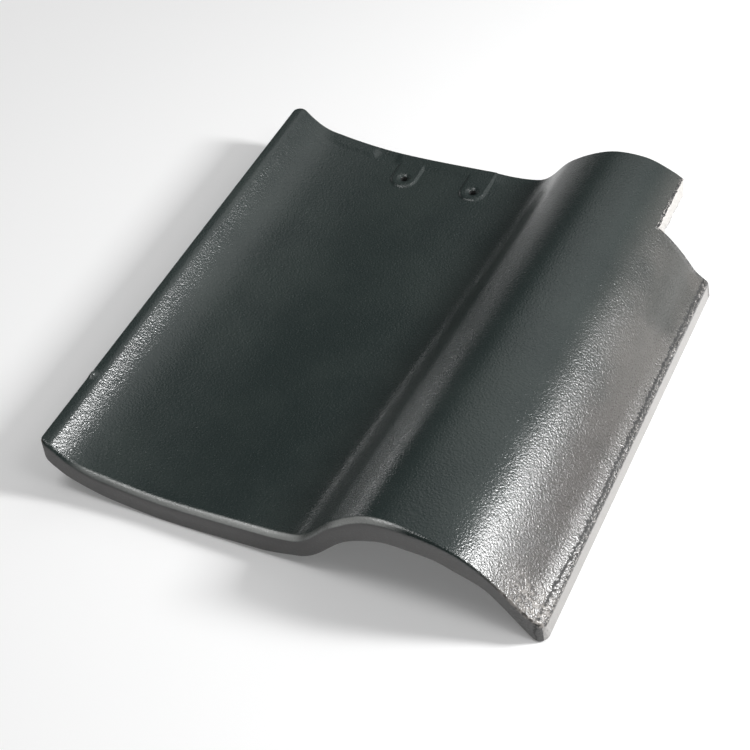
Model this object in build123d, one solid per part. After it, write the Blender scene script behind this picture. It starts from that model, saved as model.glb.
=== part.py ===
from build123d import *
import math
import os

# Size of the tile: X runs across it to the roll's foot, Y from the nose to the head, Z up
LENGTH = 310.0
WIDTH = 290.0
LIP_TOP = 6.5  # width of the top of the lip
LIP_HEIGHT = 35.5
LIP_FACE = 11.0  # height of the lip's outer face
FOOT_EDGE = 11.0  # height of the foot's outer face
HEEL = 6.5  # flat underside of the foot
HEEL_SLOPE = -46.0

# Top surface at the nose: distance from the lip's edge or, as a minus, from the foot's edge, height
# above the floor, slope in degrees, thickness of the clay, and by how much the taper moves and turns
# the place by the head
LIP_INNER = (LIP_TOP, 34.5, -48.0, 14.0, 0.0, 0.0)
LIP_FOOT = (22.0, 22.5, -23.0, 13.0, 0.0, 0.0)
PAN_LEFT = (44.0, 17.5, -8.0, 14.5, 0.0, 0.0)
PAN_LOW = (76.0, 15.0, 0.0, 15.0, 3.5, 0.0)
PAN_RIGHT = (-161.0, 17.0, 2.5, 15.0, 10.0, 0.0)
JUNCTION = (-140.0, 19.5, 13.0, 13.0, 16.0, 0.0)
S_FLANK = (-116.0, 40.5, 37.5, 12.5, 14.0, 0.0)
SHOULDER = (-96.5, 53.5, 20.0, 15.5, 17.0, 0.0)
CREST = (-76.0, 55.5, -4.0, 15.0, 18.0, 0.0)
ROLL_BACK = (-46.0, 49.0, -26.0, 13.5, 7.0, 0.0)
ROLL_FLANK = (-24.0, 32.0, -45.0, 8.0, 5.0, -6.0)
FOOT_INNER = (-9.5, 17.0, -46.0, 6.5, 0.5, -13.0)
TOP = (LIP_INNER, LIP_FOOT, PAN_LEFT, PAN_LOW, PAN_RIGHT, JUNCTION, S_FLANK, SHOULDER, CREST,
       ROLL_BACK, ROLL_FLANK, FOOT_INNER)

# Corner cut away at the head beside the roll's foot
NOTCH_LENGTH = 46.0
NOTCH_WIDTH = 32.5

# Nail holes, each sunk at the top and set in a raised tongue with a round tip
HOLE_LEFT = 84.5  # distance from the lip's edge
HOLE_SPACING = 46.5
HOLE_FROM_HEAD = 22.3
HOLE_R = 2.6
SINK_R = 4.5
SINK_DEPTH = 1.6
SINK_BALL = (SINK_R ** 2 + SINK_DEPTH ** 2) / (2 * SINK_DEPTH)
TONGUE_WIDTH = 16.0

# Low band along the head edge, from the lip to the roll with a gap before the first tongue
BAND_WIDTH = 9.0
BAND_START = 20.0
GAP_START = 59.0
GAP_END = 74.0
BAND_END = 149.0
RAISE = 0.8  # height of the tongues and the band over the pan

NOSE_ROUND = 2.5  # top edge of the nose
CORNER_ROUND = 5.5  # three outer corners, seen from above

HALF = WIDTH / 2
THROUGH = 2 * WIDTH  # longer than the tile is thick or wide, for cuts


def heading(slope):
    """Direction across the tile that climbs at a slope in degrees."""
    return Vector(math.cos(math.radians(slope)), 0, math.sin(math.radians(slope)))


def arc(start, end):
    """Smooth span between two places, each a point and a slope, as near a round arc as they allow."""
    (a, slope_a), (b, slope_b) = start, end
    turn = math.radians(slope_b - slope_a)
    reach = (b - a).length / (3 * math.cos(turn / 4) ** 2)
    return Bezier(a, a + heading(slope_a) * reach, b - heading(slope_b) * reach, b)


def across(place):
    """X of a place measured from the lip's edge or, as a minus, from the foot's edge."""
    return place - math.copysign(HALF, place)


def top_knots(head, lift=0.0):
    """Places and slopes along the top surface, at the nose with head 0 and at the head with head 1."""
    y = (head - 0.5) * LENGTH
    return [
        (Vector(across(x) + head * shift, y, z + lift), slope + head * turn)
        for x, z, slope, _, shift, turn in TOP
    ]


def section(head):
    """Outline of the cross-section."""
    y = (head - 0.5) * LENGTH
    top = top_knots(head)
    lip = Vector(-HALF, y, LIP_HEIGHT)
    lip_low = lip - Vector(0, 0, LIP_FACE)
    toe = Vector(HALF, y, FOOT_EDGE)
    toe_low = Vector(HALF, y, 0)
    heel = toe_low - Vector(HEEL, 0, 0)
    under = [
        (point + Vector(heading(slope).Z, 0, -heading(slope).X) * knot[3], slope)
        for (point, slope), knot in zip(top, TOP)
    ]
    under = [(lip_low, LIP_INNER[2]), *under[1:-1], (heel, HEEL_SLOPE)]
    return Wire([
        Line(lip, top[0][0]),
        *[arc(a, b) for a, b in zip(top, top[1:])],
        Line(top[-1][0], toe),
        Line(toe, toe_low),
        Line(toe_low, heel),
        *[arc(a, b) for a, b in zip(under, under[1:])],
        Line(lip_low, lip),
    ])


def raised_pan(head):
    """Outline of a slice of the pan with its top lifted by the tongues' height."""
    top = top_knots(head, RAISE)[1:6]
    low = [Vector(point.X, point.Y, point.Z - RAISE - PAN_LOW[3] / 2) for point, _ in (top[0], top[-1])]
    return Wire([
        *[arc(a, b) for a, b in zip(top, top[1:])],
        Line(top[-1][0], low[1]),
        Line(low[1], low[0]),
        Line(low[0], top[0][0]),
    ])


def faces_up(part, edge):
    """Whether an edge bounds a face that looks upwards."""
    faces = [face for face in part.faces() if any(edge.is_same(other) for other in face.edges())]
    return any(face.normal_at().Z > 0.1 for face in faces)


with BuildPart() as raised:
    add(Solid.make_loft([raised_pan(0), raised_pan(1)], True))
    with BuildSketch() as plan:
        for place in range(2):
            with Locations((across(HOLE_LEFT + place * HOLE_SPACING), LENGTH / 2 - HOLE_FROM_HEAD)):
                Circle(TONGUE_WIDTH / 2)
                Rectangle(TONGUE_WIDTH, HOLE_FROM_HEAD, align=(Align.CENTER, Align.MIN))
        for start, end in ((BAND_START, GAP_START), (GAP_END, BAND_END)):
            with Locations((across(start), LENGTH / 2)):
                Rectangle(end - start, BAND_WIDTH, align=(Align.MIN, Align.MAX))
    extrude(amount=THROUGH, both=True, mode=Mode.INTERSECT)

with BuildPart() as tile:
    add(Solid.make_loft([section(0), section(1)], True))
    nose = tile.edges().filter_by_position(Axis.Y, -LENGTH / 2 - 0.1, -LENGTH / 2 + 0.1)
    fillet([edge for edge in nose if faces_up(tile.part, edge)], NOSE_ROUND)
    with BuildSketch() as outline:
        Rectangle(WIDTH, LENGTH)
        fillet([corner for corner in outline.vertices() if corner.X < 0 or corner.Y < 0], CORNER_ROUND)
        with Locations((HALF, LENGTH / 2)):
            Rectangle(NOTCH_WIDTH, NOTCH_LENGTH, align=(Align.MAX, Align.MAX), mode=Mode.SUBTRACT)
    extrude(amount=THROUGH, both=True, mode=Mode.INTERSECT)
    add(raised.part)
    for number in range(2):
        x = across(HOLE_LEFT + number * HOLE_SPACING)
        y = LENGTH / 2 - HOLE_FROM_HEAD
        met = tile.part.find_intersection_points(Axis((x, y, 0), (0, 0, 1)))
        surface = max((point for point, _ in met), key=lambda point: point.Z)
        with Locations(surface + Vector(0, 0, SINK_BALL - SINK_DEPTH)):
            Sphere(SINK_BALL, mode=Mode.SUBTRACT)
        with Locations((x, y)):
            Cylinder(HOLE_R, THROUGH, mode=Mode.SUBTRACT)

os.makedirs("parts", exist_ok=True)
export_step(tile.part, "parts/roof_tile.step")
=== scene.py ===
import math
from collections import namedtuple

import bmesh
import bpy
import numpy as np
from mathutils import Matrix, Vector, noise


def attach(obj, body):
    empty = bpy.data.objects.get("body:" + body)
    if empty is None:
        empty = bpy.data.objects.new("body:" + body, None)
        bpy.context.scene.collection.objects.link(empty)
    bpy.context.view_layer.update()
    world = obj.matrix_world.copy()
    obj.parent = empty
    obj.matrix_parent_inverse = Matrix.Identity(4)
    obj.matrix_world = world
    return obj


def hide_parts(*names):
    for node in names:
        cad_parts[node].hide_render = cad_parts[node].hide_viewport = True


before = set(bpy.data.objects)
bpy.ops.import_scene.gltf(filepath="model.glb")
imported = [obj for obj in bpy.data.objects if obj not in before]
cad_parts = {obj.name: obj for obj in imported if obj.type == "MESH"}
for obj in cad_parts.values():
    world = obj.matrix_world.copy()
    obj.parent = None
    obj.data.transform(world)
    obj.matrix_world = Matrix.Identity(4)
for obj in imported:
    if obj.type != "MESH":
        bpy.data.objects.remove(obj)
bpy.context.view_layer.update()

MM = 0.001

# Sizes of the tile in millimetres, as in the part's own source. x runs from the lip to the foot and
# y from the nose to the head, and both are 0 in the tile's middle.
LENGTH = 310.0
WIDTH = 290.0
HALF = WIDTH / 2
LIP_TOP = 6.5
LIP_HEIGHT = 35.5
LIP_FACE = 11.0
FOOT_EDGE = 11.0
HEEL = 6.5
HEEL_SLOPE = -46.0

# Top surface at the nose: distance from the lip's edge or, as a minus, from the foot's edge, height
# above the floor, slope in degrees, thickness of the clay, and by how much the taper moves and turns
# the place by the head
TOP = (
    (LIP_TOP, 34.5, -48.0, 14.0, 0.0, 0.0),
    (22.0, 22.5, -23.0, 13.0, 0.0, 0.0),
    (44.0, 17.5, -8.0, 14.5, 0.0, 0.0),
    (76.0, 15.0, 0.0, 15.0, 3.5, 0.0),
    (-161.0, 17.0, 2.5, 15.0, 10.0, 0.0),
    (-140.0, 19.5, 13.0, 13.0, 16.0, 0.0),
    (-116.0, 40.5, 37.5, 12.5, 14.0, 0.0),
    (-96.5, 53.5, 20.0, 15.5, 17.0, 0.0),
    (-76.0, 55.5, -4.0, 15.0, 18.0, 0.0),
    (-46.0, 49.0, -26.0, 13.5, 7.0, 0.0),
    (-24.0, 32.0, -45.0, 8.0, 5.0, -6.0),
    (-9.5, 17.0, -46.0, 6.5, 0.5, -13.0),
)

# Points of a curved span and of a straight stretch of the cross-section
SPAN_POINTS = 64
EDGE_POINTS = 32

# The top's sharp turns are eased over this many points to each side. On its last points, near the
# foot, a wider easing comes in, over the number of points that FADE_POINTS gives.
EASE = 10
FOOT_EASE = 30
FOOT_POINTS = 110
FADE_POINTS = 40

NOTCH_LENGTH = 46.0
NOTCH_WIDTH = 32.5

# Nail holes: how many, places from the lip and the head, radius of the bore, and radii and depth of
# the round sink about it
HOLES = 2
HOLE_LEFT = 84.5
HOLE_SPACING = 46.5
HOLE_FROM_HEAD = 22.3
BORE_R = 2.2
SINK_INNER = 2.0
SINK_R = 4.5
SINK_DEPTH = 1.2

# Raised tongues round the holes and the band along the head. The pairs are distances between which
# the band rises or falls: from the lip, but for GAP_BACK, which is from the head.
RAISE = 1.0
TONGUE_WIDTH = 16.0
TONGUE_EDGE = 0.7
BAND_WIDTH = 9.0
BAND_EDGE = 2.5
BAND_RISE = (20.0, 34.0)
GAP_FALL = (56.0, 61.0)
GAP_RISE = (71.0, 76.0)
BAND_FALL = (131.0, 149.0)
GAP_BACK = (1.0, 5.0)

# Share of the clay's thickness in which the relief of the top fades out
RELIEF_SHARE = 0.25

# Drop of glaze that set on the lip: place, height, and its reach across and along
DROP_X = -142.8
DROP_Y = -100.6
DROP_HEIGHT = 1.7
DROP_ACROSS = 1.5
DROP_ALONG = 2.2

# Rounded edges, as radii
EDGE_ROUND = 1.2
LOW_ROUND = 1.6
CORNER_ROUND = 5.5

# Radius of the nose's top edge, and thickness of the clay, at distances from the lip's edge
NOSE_ROUNDS = ((0, 2.5), (40, 4.5), (190, 5.0), (225, 4.0), (260, 1.6))
CLAY = ((0, 13.0), (30, 14.5), (230, 14.0))
FOOT_CLAY = 10.5

# Where the nose's top edge starts and ends for the glaze, in a turn from -1 at the top to 1 at the
# front, and where the front and the foot's side start, as shares of the clay's thickness
EDGE_START = (-0.9, -0.6)
EDGE_END = (0.2, 0.5)
FRONT_START = (0.08, 0.18)
SIDE_START = (0.1, 0.2)

# Stretches of the mesh, as where each ends and its spacing: fine at the edges, the holes and the drop
ALONG = ((6.3, 0.45), (20.0, 1.6), (48.0, 6.0), (61.0, 1.0), (272.0, 6.0), (308.6, 0.7), (LENGTH, 0.35))
ACROSS = ((2.8, 0.35), (52.0, 1.6), (74.0, 0.9), (150.0, 0.5), (175.0, 1.0))
FOOT_STRIP = 3.0
ROLL_SPACING = 2.2
FOOT_SPACING = 0.35
THROUGH = (0, 0.03, 0.06, 0.1, 0.15, 0.2, 0.28, 0.4, 0.55, 0.7, 0.8, 0.87, 0.93, 0.97, 1.0)


def heading(slope):
    """Direction of a slope in degrees."""
    return np.array([math.cos(math.radians(slope)), math.sin(math.radians(slope))])


def span(start, end, count=SPAN_POINTS):
    """Points of a smooth span between two places with slopes, without its last point."""
    (a, slope_a), (b, slope_b) = start, end
    turn = math.radians(slope_b - slope_a)
    reach = np.linalg.norm(b - a) / (3 * math.cos(turn / 4) ** 2)
    c = a + heading(slope_a) * reach
    d = b - heading(slope_b) * reach
    t = np.linspace(0, 1, count, endpoint=False)[:, None]
    return (1 - t) ** 3 * a + 3 * t * (1 - t) ** 2 * c + 3 * t * t * (1 - t) * d + t ** 3 * b


def line(a, b):
    """Points of a straight stretch, without its last point."""
    return a + (b - a) * np.linspace(0, 1, EDGE_POINTS, endpoint=False)[:, None]


def softened(points, reach, share=1.0):
    """Points of a line with its sharp turns eased, each by its share."""
    kernel = np.hanning(2 * reach + 1)
    kernel /= kernel.sum()
    padded = np.concatenate([np.repeat(points[:1], reach, 0), points, np.repeat(points[-1:], reach, 0)])
    eased = np.stack([np.convolve(padded[:, k], kernel, "valid") for k in range(2)], 1)
    return points + (eased - points) * share


def eased_top(points):
    """The top's line, softer again where the roll comes down to the foot."""
    from_foot = np.arange(len(points)) - (len(points) - FOOT_POINTS)
    share = np.clip(from_foot / FADE_POINTS, 0, 1)[:, None]
    return softened(softened(points, EASE), FOOT_EASE, share)


def knots(head):
    """Places and slopes along the top and along the underside, which lies square under the top."""
    top, under = [], []
    for x, z, slope, clay, shift, turn in TOP:
        point = np.array([x - math.copysign(HALF, x) + head * shift, z])
        slope += head * turn
        along = heading(slope)
        top.append((point, slope))
        under.append((point + np.array([along[1], -along[0]]) * clay, slope))
    return top, under


def profile(head):
    """Matching points along the top and the underside at the nose, 0, or at the head, 1."""
    top, under = knots(head)
    lip = np.array([-HALF, LIP_HEIGHT])
    toe = np.array([HALF, FOOT_EDGE])
    toe_low = np.array([HALF, 0.0])
    under[0] = (lip - [0, LIP_FACE], top[0][1])
    under[-1] = (toe_low - [HEEL, 0], HEEL_SLOPE)
    upper = [line(lip, top[0][0])]
    upper += [span(a, b) for a, b in zip(top, top[1:])]
    upper += [line(top[-1][0], toe), toe[None]]
    lower = [span(under[0], under[1], EDGE_POINTS + SPAN_POINTS)]
    lower += [span(a, b) for a, b in zip(under[1:], under[2:])]
    lower += [line(under[-1][0], toe_low), toe_low[None]]
    return eased_top(np.concatenate(upper)), np.concatenate(lower)


NOSE_TOP, NOSE_UNDER = profile(0)
HEAD_TOP, HEAD_UNDER = profile(1)

# Distances from the lip along the top at the nose, and the whole way to the foot
DISTANCES = np.concatenate([[0], np.cumsum(np.linalg.norm(np.diff(NOSE_TOP, axis=0), axis=1))])
GIRTH = DISTANCES[-1]


def step(value, start, end):
    """0 up to start, 1 from end on, smooth between."""
    t = np.clip((value - start) / (end - start), 0, 1)
    return t * t * (3 - 2 * t)


def band_share(from_lip, from_head):
    """Share of the full height that the band along the head has."""
    band = 1 - step(from_head - BAND_WIDTH, -BAND_EDGE, BAND_EDGE)
    gap = step(from_lip, *GAP_FALL) * (1 - step(from_lip, *GAP_RISE))
    gap *= step(from_head, *GAP_BACK)
    ends = step(from_lip, *BAND_RISE) * (1 - step(from_lip, *BAND_FALL))
    return band * (1 - gap) * ends


def raised(x, y):
    """Height of the tongues and the band over the pan, less the holes' round sinks."""
    from_head = LENGTH / 2 - y
    from_lip = x + HALF
    from_holes = from_head - HOLE_FROM_HEAD
    height = band_share(from_lip, from_head)
    sinks = np.zeros_like(x)
    for number in range(HOLES):
        dx = from_lip - HOLE_LEFT - number * HOLE_SPACING
        outside = np.hypot(dx, np.maximum(from_holes, 0)) - TONGUE_WIDTH / 2
        height = np.maximum(height, 1 - step(outside, -TONGUE_EDGE, TONGUE_EDGE))
        sink = 1 - step(np.hypot(dx, from_holes), SINK_INNER, SINK_R)
        sinks = np.maximum(sinks, sink)
    return RAISE * height - SINK_DEPTH * sinks


def glaze_drop(x, y):
    """Height of the drop of glaze on the lip."""
    away = ((x - DROP_X) / DROP_ACROSS) ** 2 + ((y - DROP_Y) / DROP_ALONG) ** 2
    return DROP_HEIGHT * np.exp(-away)


def spaced(stretches):
    """Stations from 0 on, in stretches given by where each ends and its spacing."""
    stations = [0.0]
    for end, gap in stretches:
        start = stations[-1]
        count = max(1, round((end - start) / gap))
        stations += list(np.linspace(start, end, count + 1)[1:])
    return np.array(stations)


def lattice():
    """Distances across and along the top, and shares of the clay's thickness, at every station."""
    foot = ((GIRTH - FOOT_STRIP, ROLL_SPACING), (GIRTH, FOOT_SPACING))
    return spaced(ACROSS + foot), spaced(ALONG), np.array(THROUGH)


def skin(shape):
    """Numbers for the outside places of a lattice, and where these lie in it."""
    outside = np.zeros(shape, bool)
    for axis in range(3):
        outside[tuple([0, -1] if k == axis else slice(None) for k in range(3))] = True
    where = np.nonzero(outside)
    number = np.full(shape, -1)
    number[where] = np.arange(len(where[0]))
    return number, where


def skin_faces(number):
    """Faces of the lattice's six sides, which all look outward."""
    faces = []
    for axis, size in enumerate(number.shape):
        for side in (0, size - 1):
            sheet = np.take(number, side, axis=axis)
            corners = [sheet[:-1, :-1], sheet[1:, :-1], sheet[1:, 1:], sheet[:-1, 1:]]
            quads = np.stack(corners, -1).reshape(-1, 4)
            outward = (side == 0) == (axis == 1)
            faces.append(quads if outward else quads[:, ::-1])
    return np.concatenate(faces)


def rounded(a, b, radius, a_end=None, b_end=None):
    """Two distances with the round of a square edge in them.

    The edge is where both are 0, or at their end where one is given. Places in the square that the
    radius spans move onto and inside the round.
    """
    near_a = a if a_end is None else a_end - a
    near_b = b if b_end is None else b_end - b
    da, db = radius - near_a, radius - near_b
    inside = (da > 0) & (db > 0)
    scale = np.maximum(da, db) / np.maximum(np.hypot(da, db), 1e-9)
    near_a = np.where(inside, radius - da * scale, near_a)
    near_b = np.where(inside, radius - db * scale, near_b)
    return near_a if a_end is None else a_end - near_a, near_b if b_end is None else b_end - near_b


def nose_round(across):
    """Radius of the nose's top edge at distances from the lip's edge."""
    return np.interp(across, *zip(*NOSE_ROUNDS))


def clay_thickness(across):
    """Thickness of the clay at distances from the lip's edge."""
    return np.interp(across, *zip(*CLAY, (GIRTH, FOOT_CLAY)))


def drawn_in(across, along, share):
    """Distances across and along and shares through the clay, with all edges and corners rounded."""
    clay = clay_thickness(across)
    depth = share * clay
    along, depth = rounded(along, depth, nose_round(across))
    along, depth = rounded(along, depth, EDGE_ROUND, a_end=LENGTH)
    along, depth = rounded(along, depth, LOW_ROUND, b_end=clay)
    along, depth = rounded(along, depth, LOW_ROUND, a_end=LENGTH, b_end=clay)
    across, depth = rounded(across, depth, EDGE_ROUND)
    across, depth = rounded(across, depth, EDGE_ROUND, a_end=GIRTH)
    across, depth = rounded(across, depth, LOW_ROUND, a_end=GIRTH, b_end=clay)
    across, depth = rounded(across, depth, LOW_ROUND, b_end=clay)
    across, along = rounded(across, along, CORNER_ROUND)
    across, along = rounded(across, along, CORNER_ROUND, a_end=GIRTH)
    across, along = rounded(across, along, CORNER_ROUND, b_end=LENGTH)
    return across, along, depth / clay


def nose_edge(across, along, share):
    """1 on the round of the nose's top edge, 0 off it."""
    depth = share * clay_thickness(across)
    radius = nose_round(across)
    turned = (depth - along) / radius
    on_round = step(turned, *EDGE_START) * (1 - step(turned, *EDGE_END))
    return on_round * (along < radius) * (depth < radius)


def at_index(points, index):
    """Places on a line, counted in its points."""
    own = np.arange(len(points))
    return np.stack([np.interp(index, own, points[:, k]) for k in range(2)], -1)


def place(across, along, share):
    """Points in millimetres for distances across and along and shares through the clay."""
    index = np.interp(across, DISTANCES, np.arange(len(DISTANCES)))
    head = (along / LENGTH)[..., None]
    upper = at_index(NOSE_TOP, index) * (1 - head) + at_index(HEAD_TOP, index) * head
    lower = at_index(NOSE_UNDER, index) * (1 - head) + at_index(HEAD_UNDER, index) * head
    point = upper + (lower - upper) * share[..., None]
    x, y = upper[..., 0], along - LENGTH / 2
    relief = (raised(x, y) + glaze_drop(x, y)) * np.clip(1 - share / RELIEF_SHARE, 0, 1)
    return np.stack([point[..., 0], y, point[..., 1] + relief], -1)


def tile_mesh():
    """Closed mesh of the whole tile, with the shares that the glaze reads at its points."""
    stations = lattice()
    number, where = skin([len(line) for line in stations])
    across, along, share = [line[index] for line, index in zip(stations, where)]
    points = place(*drawn_in(across, along, share)) * MM
    mesh = bpy.data.meshes.new("glazed_tile")
    mesh.from_pydata(points.tolist(), [], skin_faces(number).tolist())
    mesh.update()
    shares = {
        "nose edge": nose_edge(across, along, share),
        "front": (along == 0) * step(share, *FRONT_START),
        "side": (across == GIRTH) * step(share, *SIDE_START),
    }
    for name, values in shares.items():
        layer = mesh.attributes.new(name, "FLOAT", "POINT")
        layer.data.foreach_set("value", values.astype(np.float32))
    return mesh


class Nodes:
    """The node tree of a material or of the world, and the shader that it ends in."""

    def __init__(self, owner, shader):
        owner.use_nodes = True
        self.tree = owner.node_tree
        self.shader = self.tree.nodes[shader]

    def fill(self, made, sockets):
        """Gives a node's sockets, by name or number, their values or links."""
        for name, value in sockets.items():
            if isinstance(value, Wire):
                self.tree.links.new(value.socket, made.inputs[name])
            else:
                made.inputs[name].default_value = value

    def add(self, kind, settings=None, sockets=None, output=0):
        """One output of a new node of a kind, whose settings are set before its sockets."""
        made = self.tree.nodes.new("ShaderNode" + kind)
        for name, value in (settings or {}).items():
            setattr(made, name, value)
        self.fill(made, sockets or {})
        return Wire(self, made.outputs[output])

    def mix(self, share, first, second):
        """Second colour over the first by a share."""
        return self.add("Mix", {"data_type": "RGBA"}, {0: share, 6: first, 7: second}, 2)

    def noise(self, where, scale, detail, roughness=0.5):
        """Soft noise of about 0 to 1, its scale counted in a metre."""
        values = {"Vector": where, "Scale": scale, "Detail": detail, "Roughness": roughness}
        return self.add("TexNoise", sockets=values)

    def bump(self, strength, distance, height):
        """Normal of a surface with a fine relief."""
        return self.add("Bump", sockets={"Strength": strength, "Distance": distance, "Height": height})


class Wire:
    """A node's output that takes part in Python arithmetic."""

    def __init__(self, nodes, socket):
        self.nodes = nodes
        self.socket = socket

    def output(self, name):
        """Another output of the same node."""
        return Wire(self.nodes, self.socket.node.outputs[name])

    def math(self, operation, other, swapped=False):
        pair = (other, self) if swapped else (self, other)
        return self.nodes.add("Math", {"operation": operation}, dict(enumerate(pair)))

    def __add__(self, other):
        return self.math("ADD", other)

    def __sub__(self, other):
        return self.math("SUBTRACT", other)

    def __rsub__(self, other):
        return self.math("SUBTRACT", other, swapped=True)

    def __mul__(self, other):
        return self.math("MULTIPLY", other)

    __radd__ = __add__
    __rmul__ = __mul__

    def between(self, low, high):
        """0 up to low, 1 from high on, smooth between."""
        limits = {"Value": self, "From Min": low, "From Max": high}
        return self.nodes.add("MapRange", {"interpolation_type": "SMOOTHSTEP"}, limits, "Result")

    def zone(self, start, end):
        """The same between two places in millimetres."""
        return self.between(start * MM, end * MM)


def material(name):
    made = bpy.data.materials.new(name)
    return made, Nodes(made, "Principled BSDF")


# Noises of the glaze, each with its scale in a metre, detail and roughness
PATCHES = (22.0, 3.0)
GRAIN = (1100.0, 2.0)
PEEL = (860.0, 2.0, 0.55)
FLAKES = (520.0, 2.0)

# Values of those noises between which a mark fades in
CLOUDS = (0.35, 0.7)
STAIN_CLOUDS = (0.3, 0.6)
SPECKS = (0.6, 0.75)
CHIPS = (0.57, 0.61)
GLINTS = (0.58, 0.68)
CRUST_FLAKES = (0.42, 0.6)

# Where the marks fade in, in millimetres: STAIN is browner glaze on the roll's right, lighter towards
# the head,
# RIM the broken glaze along the foot and the notch, with bare clay and painted glints in it, SEAM the
# dark line beside it, painted shade of a crevice where the glaze pooled, which bends in towards the
# nose, KNOCK a small chip at the lip's corner, THIN the nose's edge, where thin glaze carries a painted
# highlight, and CRUST the rough glaze at the foot's corner
STAIN_X = (95.0, 128.0)
STAIN_Y = (-80.0, 50.0)
FOOT_RIM = (HALF - 2.9, HALF - 2.3)
NOTCH_RIM_X = (HALF - NOTCH_WIDTH - 1.8, HALF - NOTCH_WIDTH - 1.2)
NOTCH_RIM_Y = (LENGTH / 2 - NOTCH_LENGTH - 2.0, LENGTH / 2 - NOTCH_LENGTH - 1.0)
SEAM_START = (HALF - 4.8, HALF - 4.3)
SEAM_END = (HALF - 3.4, HALF - 2.9)
SEAM_BEND_Y = (-150.0, -90.0)
SEAM_BEND = 2.0
KNOCK_X = (-142.5, -143.7)
KNOCK_Y = (-152.5, -153.7)
THIN_SHEEN_RISE = (-138.0, -20.0)
THIN_SHEEN_START = (-132.0, -118.0)
THIN_SHEEN_DIP = (6.0, 14.0)
THIN_SHEEN_PEAK = (26.0, 34.0)
THIN_SHEEN_END = (55.0, 75.0)
CRUST_X = (112.0, 138.0)
CRUST_Y = (-148.0, -128.0)

# How far the flakes make the rims ragged
RAGGED = 4.0

# Least shares of the stain and of the nose edge's painted highlight over thin glaze in their zones, what
# the dip takes from that painted highlight and the peak adds to it, and how fully the specks and the
# crust cover
STAIN_LEAST = 0.5
THIN_SHEEN_LEAST = 0.3
DIP_SHARE = 0.7
PEAK_SHARE = 2.0
SPECK_COVER = 0.2
CRUST_COVER = 0.6

GLAZE_DEEP = (0.007, 0.015, 0.014, 1)
GLAZE_CLOUD = (0.012, 0.021, 0.019, 1)
# Brown of the roll's right by the nose, and by the head, where it is lighter
STAIN_NOSE = (0.042, 0.037, 0.033, 1)
STAIN_HEAD = (0.092, 0.087, 0.08, 1)
SPECK_GREY = (0.07, 0.08, 0.076, 1)
# Painted shade of the crevice beside the foot's rim
SEAM_SHADE = (0.004, 0.004, 0.004, 1)
CHIP_BLACK = (0.01, 0.01, 0.01, 1)
# Pale chips of the rims: bare clay and painted glints
CHIP_CLAY_AND_GLINT = (0.42, 0.40, 0.38, 1)
KNOCK_CLAY = (0.5, 0.36, 0.31, 1)
CRUST_GREY = (0.36, 0.335, 0.31, 1)
# Pale grey of the nose's edge: a painted highlight over thin glaze
THIN_SHEEN_GREY = (0.36, 0.37, 0.36, 1)
FRONT_GREY = (0.078, 0.077, 0.076, 1)
SIDE_GREY = (0.36, 0.35, 0.34, 1)

# Roughness of the glaze, and what its clouds, the tile's front and side, the glints and the seam
# add to it or take from it
GLAZE_ROUGH = 0.235
CLOUD_ROUGH = 0.12
FACE_ROUGH = 0.3
GLINT_SMOOTH = 0.12
SEAM_ROUGH = 0.45
GLAZE_IOR = 1.72

# Strength and height of the fine relief, and how high the broken rims and the crust stand in it
PEEL_STRENGTH = 0.74
PEEL_HEIGHT = 0.36
RIM_RELIEF = 0.8
CRUST_RELIEF = 1.2

# Snapped clay: noise of its grit, colours, roughness, and strength and height of its relief
GRIT = (500.0, 4.0)
CLAY_GREY = (0.45, 0.44, 0.42, 1)
CLAY_PALE = (0.62, 0.6, 0.58, 1)
CLAY_ROUGH = 0.85
GRIT_STRENGTH = 0.6
GRIT_HEIGHT = 0.4

HOLE_BLACK = (0.008, 0.008, 0.008, 1)
HOLE_ROUGH = 0.9

Ground = namedtuple("Ground", "x y patches grain peel flakes ragged front side edge")


def glaze_ground(nodes):
    """Places, noises and the mesh's own shares, which the glaze follows."""
    where = nodes.add("TexCoord", output="Object")
    axes = nodes.add("SeparateXYZ", sockets={"Vector": where})
    x, y = axes.output("X"), axes.output("Y")
    patches, grain, peel, flakes = [nodes.noise(where, *kind) for kind in (PATCHES, GRAIN, PEEL, FLAKES)]
    ragged = x + (flakes - 0.5) * (RAGGED * MM)
    names = ("front", "side", "nose edge")
    shares = [nodes.add("Attribute", {"attribute_name": name}, output="Fac") for name in names]
    return Ground(x, y, patches, grain, peel, flakes, ragged, *shares)


def plain_glaze(nodes, ground):
    """Near-black glaze in clouds, stained on the roll's right and lighter there towards the head, with
    fine light specks.
    """
    glaze = nodes.mix(ground.patches.between(*CLOUDS), GLAZE_DEEP, GLAZE_CLOUD)
    clouds = ground.patches.between(*STAIN_CLOUDS) * (1 - STAIN_LEAST) + STAIN_LEAST
    stain = ground.x.zone(*STAIN_X) * clouds
    brown = nodes.mix(ground.y.zone(*STAIN_Y), STAIN_NOSE, STAIN_HEAD)
    specks = ground.grain.between(*SPECKS) * SPECK_COVER
    return nodes.mix(specks, nodes.mix(stain, glaze, brown), SPECK_GREY)


def seam_shade(ground):
    """Share of the dark line beside the foot's rim: painted shade of a crevice, where the glaze pooled.
    """
    inset = ground.ragged + (1 - ground.y.zone(*SEAM_BEND_Y)) * (SEAM_BEND * MM)
    return inset.zone(*SEAM_START) * (1 - inset.zone(*SEAM_END))


def broken(ground):
    """Share of the rims where clay and crumbs of glaze show, along the foot and the notch; the pale
    chips are clay and painted glints.
    """
    notch = ground.ragged.zone(*NOTCH_RIM_X) * ground.y.zone(*NOTCH_RIM_Y)
    return ground.ragged.zone(*FOOT_RIM).math("MAXIMUM", notch)


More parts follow.
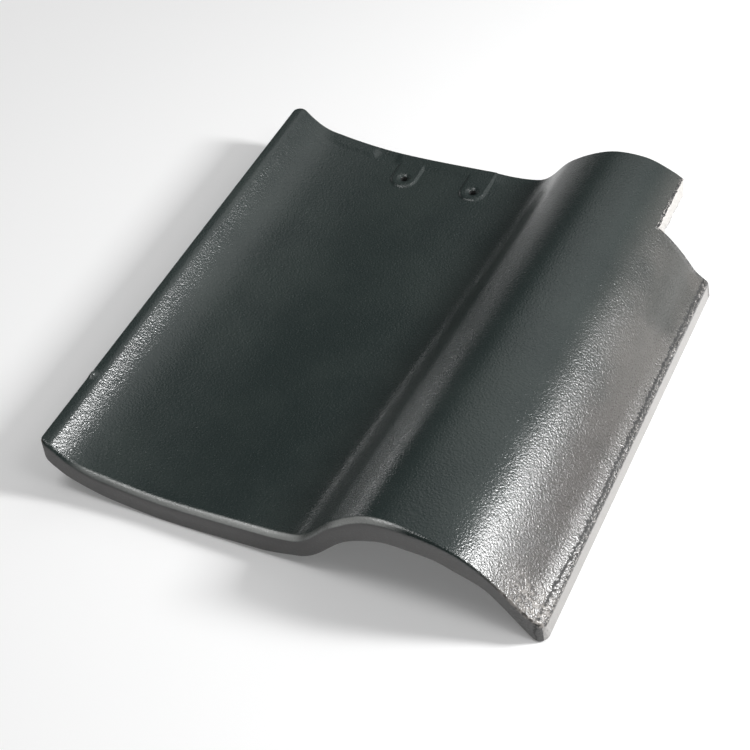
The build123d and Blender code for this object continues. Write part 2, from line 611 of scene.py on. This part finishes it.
def thin_sheen(ground):
    """Painted highlight on the nose's edge, over glaze that ran thin there: more towards the roll, with
    a dip and a peak.
    """
    share = ground.edge * (ground.x.zone(*THIN_SHEEN_RISE) * (1 - THIN_SHEEN_LEAST) + THIN_SHEEN_LEAST)
    share = share * (ground.x.zone(*THIN_SHEEN_START) - ground.x.zone(*THIN_SHEEN_DIP) * DIP_SHARE)
    share = share + share * ground.x.zone(*THIN_SHEEN_PEAK) * PEAK_SHARE
    return share * (1 - ground.x.zone(*THIN_SHEEN_END))


def crust(ground):
    """Share of the rough glaze at the foot's corner with the nose."""
    corner = ground.x.zone(*CRUST_X) * (1 - ground.y.zone(*CRUST_Y))
    return corner * ground.flakes.between(*CRUST_FLAKES)


def dark_glaze():
    """Dark glossy glaze with an orange-peel surface and its small marks, one over the other."""
    made, nodes = material("dark glaze")
    ground = glaze_ground(nodes)
    shaded_seam, open_rim, crusted = seam_shade(ground), broken(ground), crust(ground)
    # pale chips on the rims are bare clay and painted glints
    chips_and_glints = nodes.mix(ground.grain.between(*CHIPS), CHIP_BLACK, CHIP_CLAY_AND_GLINT)
    knock = ground.x.zone(*KNOCK_X) * ground.y.zone(*KNOCK_Y)
    marks = (
        # painted shade in the crevice beside the foot's rim
        (shaded_seam, SEAM_SHADE),
        (open_rim, chips_and_glints),
        (knock, KNOCK_CLAY),
        (crusted * CRUST_COVER, CRUST_GREY),
        # painted highlight on the nose's edge, over thin glaze
        (thin_sheen(ground), THIN_SHEEN_GREY),
        (ground.front, FRONT_GREY),
        (ground.side, SIDE_GREY),
    )
    colour = plain_glaze(nodes, ground)
    for share, mark in marks:
        colour = nodes.mix(share, colour, mark)
    rough = ground.patches * CLOUD_ROUGH + GLAZE_ROUGH
    rough = rough + ground.front * FACE_ROUGH + ground.side * FACE_ROUGH
    rough = rough - ground.grain.between(*GLINTS) * GLINT_SMOOTH + shaded_seam * SEAM_ROUGH
    height = ground.peel + ground.flakes * open_rim * RIM_RELIEF + ground.flakes * crusted * CRUST_RELIEF
    nodes.fill(nodes.shader, {
        "Base Color": colour,
        "Roughness": rough,
        "IOR": GLAZE_IOR,
        "Normal": nodes.bump(PEEL_STRENGTH, PEEL_HEIGHT * MM, height),
    })
    return made


def bare_clay():
    """Pale snapped clay, with grit."""
    made, nodes = material("bare clay")
    where = nodes.add("TexCoord", output="Object")
    grit = nodes.noise(where, *GRIT)
    nodes.fill(nodes.shader, {
        "Base Color": nodes.mix(grit, CLAY_GREY, CLAY_PALE),
        "Roughness": CLAY_ROUGH,
        "Normal": nodes.bump(GRIT_STRENGTH, GRIT_HEIGHT * MM, grit),
    })
    return made


def hole_wall():
    """Glaze in the nail holes, which no light reaches."""
    made, nodes = material("hole wall")
    nodes.fill(nodes.shader, {"Base Color": HOLE_BLACK, "Roughness": HOLE_ROUGH})
    return made


def linked(name, data):
    made = bpy.data.objects.new(name, data)
    bpy.context.scene.collection.objects.link(made)
    return made


def cutter(name, shape, finish):
    """Object for a cut from a shape that is done with, in the finish of the cut."""
    mesh = bpy.data.meshes.new(name)
    shape.to_mesh(mesh)
    shape.free()
    mesh.materials.append(finish)
    return linked(name, mesh)


def cut_away(tile, tool):
    """Cuts a closed shape out of the tile and leaves the shape's material on the new faces."""
    change = tile.modifiers.new("cut", "BOOLEAN")
    change.operation = "DIFFERENCE"
    change.solver = "EXACT"
    change.material_mode = "TRANSFER"
    change.object = tool
    bpy.context.view_layer.update()
    cut = bpy.data.meshes.new_from_object(tile.evaluated_get(bpy.context.evaluated_depsgraph_get()))
    tile.modifiers.clear()
    tile.data = cut
    bpy.data.objects.remove(tool)


BORE_SIDES = 40
BORE_LENGTH = 80.0
BORE_MIDDLE = 10.0


def nail_cutter(number, finish):
    """Rod for a nail hole, through the whole tile."""
    radius = BORE_R * MM
    x = HOLE_LEFT + number * HOLE_SPACING - HALF
    y = LENGTH / 2 - HOLE_FROM_HEAD
    shape = bmesh.new()
    bmesh.ops.create_cone(
        shape, cap_ends=True, segments=BORE_SIDES, radius1=radius, radius2=radius, depth=BORE_LENGTH * MM
    )
    bmesh.ops.translate(shape, verts=shape.verts, vec=Vector((x, y, BORE_MIDDLE)) * MM)
    return cutter("nail cutter", shape, finish)


# Box that cuts the notch: its reach past the notch's inner corner and past the head, its lowest and
# highest places, and the number of squares along each inner wall, which is also that of points up it
BOX_REACH = 70.0
BOX_PAST_HEAD = 6.0
BOX_HEIGHTS = (-10.0, 80.0)
BOX_SQUARES = 70

# Unevenness of snapped clay: turns per millimetre and depth of each noise, and the share of it on
# the wall across the tile
SNAPS = ((0.45, 0.5), (1.1, 0.25))
BACK_SNAP = 0.4


def snapped(x, y, z):
    """How far snapped clay stands off its plain wall at a place."""
    return sum(noise.noise(Vector((x, y, z)) * turns) * depth for turns, depth in SNAPS)


def notch_walls():
    """Columns of points up the notch's two inner walls, from the head past the inner corner."""
    side, back = HALF - NOTCH_WIDTH, LENGTH / 2 - NOTCH_LENGTH
    heights = np.linspace(*BOX_HEIGHTS, BOX_SQUARES)
    shares = np.linspace(0, 1, BOX_SQUARES + 1)
    columns = []
    for y in LENGTH / 2 + BOX_PAST_HEAD - shares * (NOTCH_LENGTH + BOX_PAST_HEAD):
        columns.append([(side + snapped(side, y, z), y, z) for z in heights])
    for x in side + shares[1:] * BOX_REACH:
        columns.append([(x, back + snapped(x, back, z) * BACK_SNAP, z) for z in heights])
    return columns


def notch_cutter(finish):
    """Box for the head corner whose inner walls are as uneven as snapped clay."""
    shape = bmesh.new()
    columns = [[shape.verts.new(Vector(point) * MM) for point in column] for column in notch_walls()]
    for left, right in zip(columns, columns[1:]):
        for level in range(len(left) - 1):
            shape.faces.new((left[level], right[level], right[level + 1], left[level + 1]))
    outer_x, outer_y = HALF - NOTCH_WIDTH + BOX_REACH, LENGTH / 2 + BOX_PAST_HEAD
    low, high = [shape.verts.new(Vector((outer_x, outer_y, z)) * MM) for z in BOX_HEIGHTS]
    shape.faces.new([*[column[0] for column in columns], low])
    shape.faces.new([*[column[-1] for column in reversed(columns)], high])
    shape.faces.new([*columns[-1], high, low])
    shape.faces.new([*reversed(columns[0]), low, high])
    bmesh.ops.recalc_face_normals(shape, faces=shape.faces)
    return cutter("notch cutter", shape, finish)


def glazed_tile():
    """The whole tile, with its nail holes and its notch cut."""
    glaze, clay, wall = dark_glaze(), bare_clay(), hole_wall()
    tile = linked("glazed_tile", tile_mesh())
    tile.data.materials.append(glaze)
    for number in range(HOLES):
        cut_away(tile, nail_cutter(number, wall))
    cut_away(tile, notch_cutter(clay))
    for face in tile.data.polygons:
        face.use_smooth = True
    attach(tile, "root")
    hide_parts("roof_tile")


FLOOR_REACH = 6.0
FLOOR_GLOW = 0.15

# Direction from the tile to the studio's bright side, how near to it the room starts to glow, and
# what its glow adds to the room's own
WINDOW = (0.68, 0.58, 0.45)
WINDOW_EDGE = (0.25, 1.1)
WINDOW_GLOW = 0.28
ROOM_GLOW = 0.12

# Lamps: name, place and aim in metres, width and height, and watts
LAMPS = (
    ("key", (0.90, 0.285, 0.655), (0.0, -0.12, 0.03), (0.18, 0.3), 14),
    ("overhead", (-0.3, -0.25, 1.08), (0, -0.05, 0), (0.4, 0.4), 3.2),
    ("front right", (0.62, -0.22, 0.92), (0.06, -0.15, 0.05), (0.3, 0.3), 1.5),
    ("back", (0.06, 0.52, 0.60), (0.0, -0.1, 0.03), (0.55, 0.45), 0.5),
    ("low left", (-0.75, 0.42, 0.10), (0.03, -0.13, 0.05), (0.25, 0.12), 0.35),
)

# The picture's camera, fitted to the tile's outline: place in metres, directions, and focal length
# in pixels of the picture
CAMERA_PLACE = (0.33155, -0.61873, 0.7063)
CAMERA_RIGHT = (0.90371, 0.42021, -0.08199)
CAMERA_FORWARD = (-0.34762, 0.60838, -0.71346)
FOCAL = 1735.0
PICTURE_WIDTH = 750


def soft_light(name, where, aim, size, power):
    """Lamp with a rectangular face, which the camera doesn't see."""
    lamp = bpy.data.lights.new(name, "AREA")
    lamp.shape = "RECTANGLE"
    lamp.size, lamp.size_y = size
    lamp.energy = power
    made = linked(name, lamp)
    made.location = where
    made.rotation_euler = (Vector(aim) - Vector(where)).to_track_quat("-Z", "Y").to_euler()
    made.visible_camera = False


def pale_floor():
    """Pale floor that looks a little brighter than it lights."""
    finish, nodes = material("pale floor")
    ray = nodes.add("LightPath")
    kinds = ("Camera", "Glossy", "Transmission")
    direct, mirrored, passed = [ray.output(f"Is {kind} Ray") for kind in kinds]
    seen = direct.math("MAXIMUM", mirrored).math("MAXIMUM", passed)
    nodes.fill(nodes.shader, {
        "Base Color": (0.8, 0.8, 0.8, 1),
        "Emission Strength": seen * FLOOR_GLOW,
        "Emission Color": (1, 1, 1, 1),
        "Roughness": 0.9,
        "Specular IOR Level": 0.0,
    })
    signs = ((-1, -1), (1, -1), (1, 1), (-1, 1))
    mesh = bpy.data.meshes.new("floor")
    mesh.from_pydata([(a * FLOOR_REACH, b * FLOOR_REACH, 0) for a, b in signs], [], [(0, 1, 2, 3)])
    mesh.materials.append(finish)
    linked("floor", mesh)


def bright_room():
    """Room that is brighter towards its window."""
    world = bpy.data.worlds.new("studio")
    bpy.context.scene.world = world
    nodes = Nodes(world, "Background")
    direction = nodes.add("TexCoord", output="Generated")
    pair = {0: direction, 1: Vector(WINDOW).normalized()}
    toward = nodes.add("VectorMath", {"operation": "DOT_PRODUCT"}, pair, "Value")
    nodes.fill(nodes.shader, {
        "Color": (1, 1, 1, 1),
        "Strength": toward.between(*WINDOW_EDGE) * WINDOW_GLOW + ROOM_GLOW,
    })


def studio():
    pale_floor()
    bright_room()
    for lamp in LAMPS:
        soft_light(*lamp)


def camera():
    """The picture's camera."""
    forward = Vector(CAMERA_FORWARD).normalized()
    up = Vector(CAMERA_RIGHT).cross(forward).normalized()
    right = forward.cross(up)
    view = bpy.data.cameras.new("camera")
    view.sensor_width = 36.0
    view.lens = FOCAL / PICTURE_WIDTH * view.sensor_width
    view.clip_start = 0.01
    made = linked("camera", view)
    turn = Matrix((right, up, -forward)).transposed().to_4x4()
    made.matrix_world = Matrix.Translation(CAMERA_PLACE) @ turn
    bpy.context.scene.camera = made


glazed_tile()
studio()
camera()
bpy.context.scene.view_settings.view_transform = "Standard"
